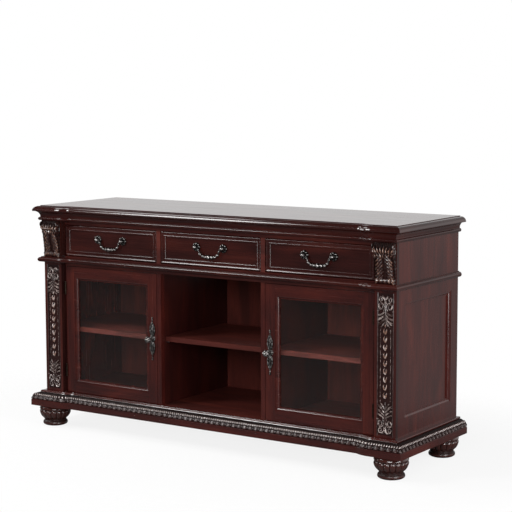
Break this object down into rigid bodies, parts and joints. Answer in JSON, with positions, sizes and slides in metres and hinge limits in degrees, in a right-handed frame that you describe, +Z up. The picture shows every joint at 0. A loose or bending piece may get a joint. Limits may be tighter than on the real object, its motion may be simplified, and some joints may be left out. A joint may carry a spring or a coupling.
{
  "type": "tv stand",
  "caption": "Traditional breakfront TV stand in dark cherry with drawers on bail pulls, glazed side doors, an open middle bay with a shelf, corner pilasters, a moulded plinth and bun feet.",
  "frame": {"origin": "on the floor, under the middle of the plinth's outline", "axes": "+X to the stand's right as seen from the front, -Y out of the front, +Z up"},
  "size_m": [1.651, 0.4971, 0.866],
  "materials": {
    "cherry": "dark red cherry stain under a satin lacquer",
    "inner_wood": "dark cherry stain, thin lacquer",
    "drawer_wood": "plain light hardwood, clear sealed",
    "glass": "clear polished float glass",
    "antique_metal": "cast, dark antique bronze with rubbed highlights",
    "hinge_metal": "antiqued, dull",
    "steel": "zinc plated",
    "catch_plastic": "moulded brown plastic"
  },
  "bodies": {
    "cabinet": {"back_panel": "inner_wood", "back_screws": "steel", "bay_partition_left": "inner_wood", "bay_partition_right": "inner_wood", "bay_stiles": "cherry", "bottom_board": "inner_wood", "case_hinge_leaves": "hinge_metal", "corbel_left": "cherry", "corbel_right": "cherry", "corner_blocks": "inner_wood", "cornice_moulding": "cherry", "deck_board": "inner_wood", "door_catches": "catch_plastic", "drawer_partitions": "inner_wood", "drawer_rail": "cherry", "drawer_runners": "inner_wood", "face_stile_left": "cherry", "face_stile_right": "cherry", "foot_back_left": "cherry", "foot_back_right": "cherry", "foot_bolts": "steel", "foot_front_left": "cherry", "foot_front_right": "cherry", "frieze_rails": "cherry", "pilaster_left": "cherry", "pilaster_right": "cherry", "plinth_back_rail": "inner_wood", "plinth_front": "cherry", "plinth_left": "cherry", "plinth_right": "cherry", "shelf_centre": "inner_wood", "shelf_left": "inner_wood", "shelf_pins": "steel", "shelf_right": "inner_wood", "side_frame_left": "cherry", "side_frame_right": "cherry", "side_panel_left": "cherry", "side_panel_right": "cherry", "top_board": "cherry", "waist_moulding": "cherry"},
    "drawer_left": {"drawer_front_left": "cherry", "drawer_box_left": "drawer_wood", "drawer_pull_mounts_left": "antique_metal"},
    "bail_left": {"drawer_bail_left": "antique_metal"},
    "drawer_centre": {"drawer_front_centre": "cherry", "drawer_box_centre": "drawer_wood", "drawer_pull_mounts_centre": "antique_metal"},
    "bail_centre": {"drawer_bail_centre": "antique_metal"},
    "drawer_right": {"drawer_front_right": "cherry", "drawer_box_right": "drawer_wood", "drawer_pull_mounts_right": "antique_metal"},
    "bail_right": {"drawer_bail_right": "antique_metal"},
    "door_left": {"door_frame_left": "cherry", "door_glass_left": "glass", "door_pull_left": "antique_metal", "door_fittings_left": "hinge_metal"},
    "door_right": {"door_frame_right": "cherry", "door_glass_right": "glass", "door_pull_right": "antique_metal", "door_fittings_right": "hinge_metal"}
  },
  "joints": [
    {"name": "drawer_left_slide", "type": "slide", "parent": "cabinet", "child": "drawer_left", "axis": [0, -1, 0], "range_m": [0, 0.28]},
    {"name": "bail_left_swing", "type": "hinge", "parent": "drawer_left", "child": "bail_left", "pos_m": [-0.465, -0.194, 0.74325], "axis": [-1, 0, 0], "range_deg": [0, 80]},
    {"name": "drawer_centre_slide", "type": "slide", "parent": "cabinet", "child": "drawer_centre", "axis": [0, -1, 0], "range_m": [0, 0.28]},
    {"name": "bail_centre_swing", "type": "hinge", "parent": "drawer_centre", "child": "bail_centre", "pos_m": [0, -0.194, 0.74325], "axis": [-1, 0, 0], "range_deg": [0, 80]},
    {"name": "drawer_right_slide", "type": "slide", "parent": "cabinet", "child": "drawer_right", "axis": [0, -1, 0], "range_m": [0, 0.28]},
    {"name": "bail_right_swing", "type": "hinge", "parent": "drawer_right", "child": "bail_right", "pos_m": [0.465, -0.194, 0.74325], "axis": [-1, 0, 0], "range_deg": [0, 80]},
    {"name": "door_left_swing", "type": "hinge", "parent": "cabinet", "child": "door_left", "pos_m": [-0.687, -0.1922, 0.38525], "axis": [0, 0, -1], "range_deg": [0, 105]},
    {"name": "door_right_swing", "type": "hinge", "parent": "cabinet", "child": "door_right", "pos_m": [0.687, -0.1922, 0.38525], "axis": [0, 0, 1], "range_deg": [0, 105]}
  ]
}
